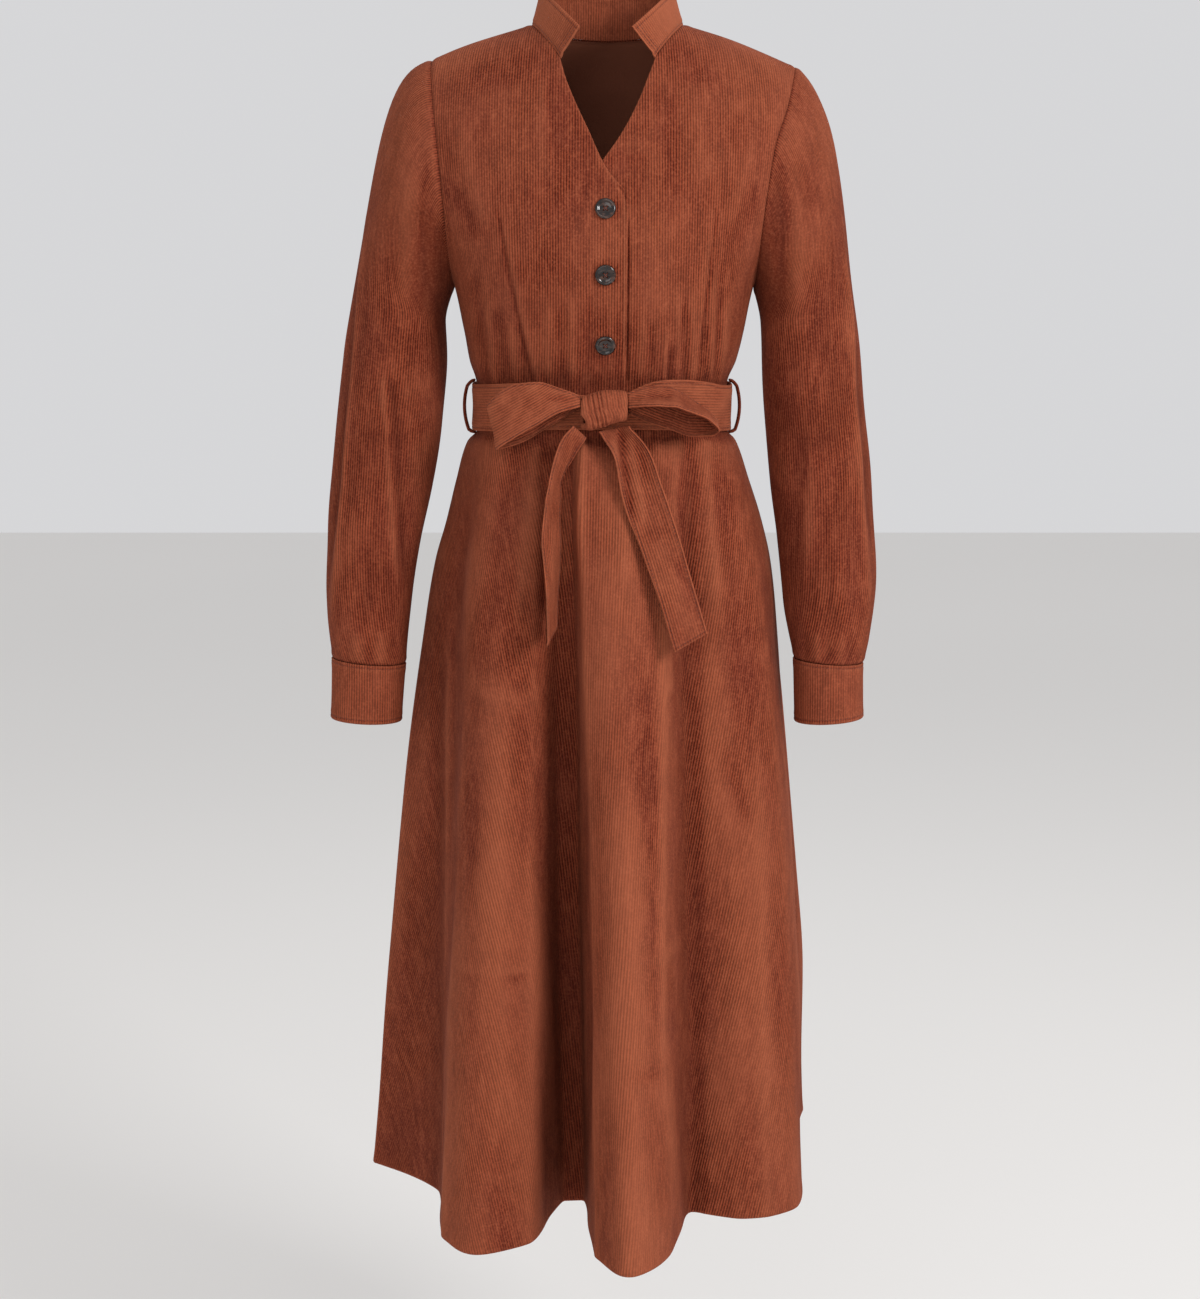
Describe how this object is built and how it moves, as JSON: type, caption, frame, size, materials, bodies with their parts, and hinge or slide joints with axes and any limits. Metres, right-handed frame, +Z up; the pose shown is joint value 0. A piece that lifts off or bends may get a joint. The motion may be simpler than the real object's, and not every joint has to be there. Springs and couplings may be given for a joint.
{
  "type": "belted midi dress",
  "caption": "Worn corduroy midi dress with a stand collar, V neck, buttoned front, long cuffed sleeves, flared skirt and a self belt tied in a bow.",
  "frame": {"origin": "the middle of the shoulder line at the height where the neck meets the shoulder, where the wearer holds the dress up", "axes": "+Z up along the body, the front faces -Y, +X towards the wearer's left"},
  "size_m": [0.5629, 0.5082, 1.2237],
  "materials": {
    "corduroy": "rust fine-wale corduroy with a soft, slightly crushed nap",
    "buttons": "polished dark horn-look plastic"
  },
  "bodies": {
    "root": {"bodice_front_right": "corduroy", "bodice_front_left": "corduroy", "bodice_back": "corduroy", "collar": "corduroy", "sleeve_right": "corduroy", "sleeve_left": "corduroy", "cuff_right": "corduroy", "cuff_left": "corduroy", "skirt_front": "corduroy", "skirt_back": "corduroy", "belt_band": "corduroy", "belt_loop_right": "corduroy", "belt_loop_left": "corduroy", "bow_knot": "corduroy", "bow_loop_right": "corduroy", "bow_loop_left": "corduroy", "bow_tail_right": "corduroy", "bow_tail_left": "corduroy", "button_1": "buttons", "button_2": "buttons", "button_3": "buttons"}
  },
  "joints": []
}
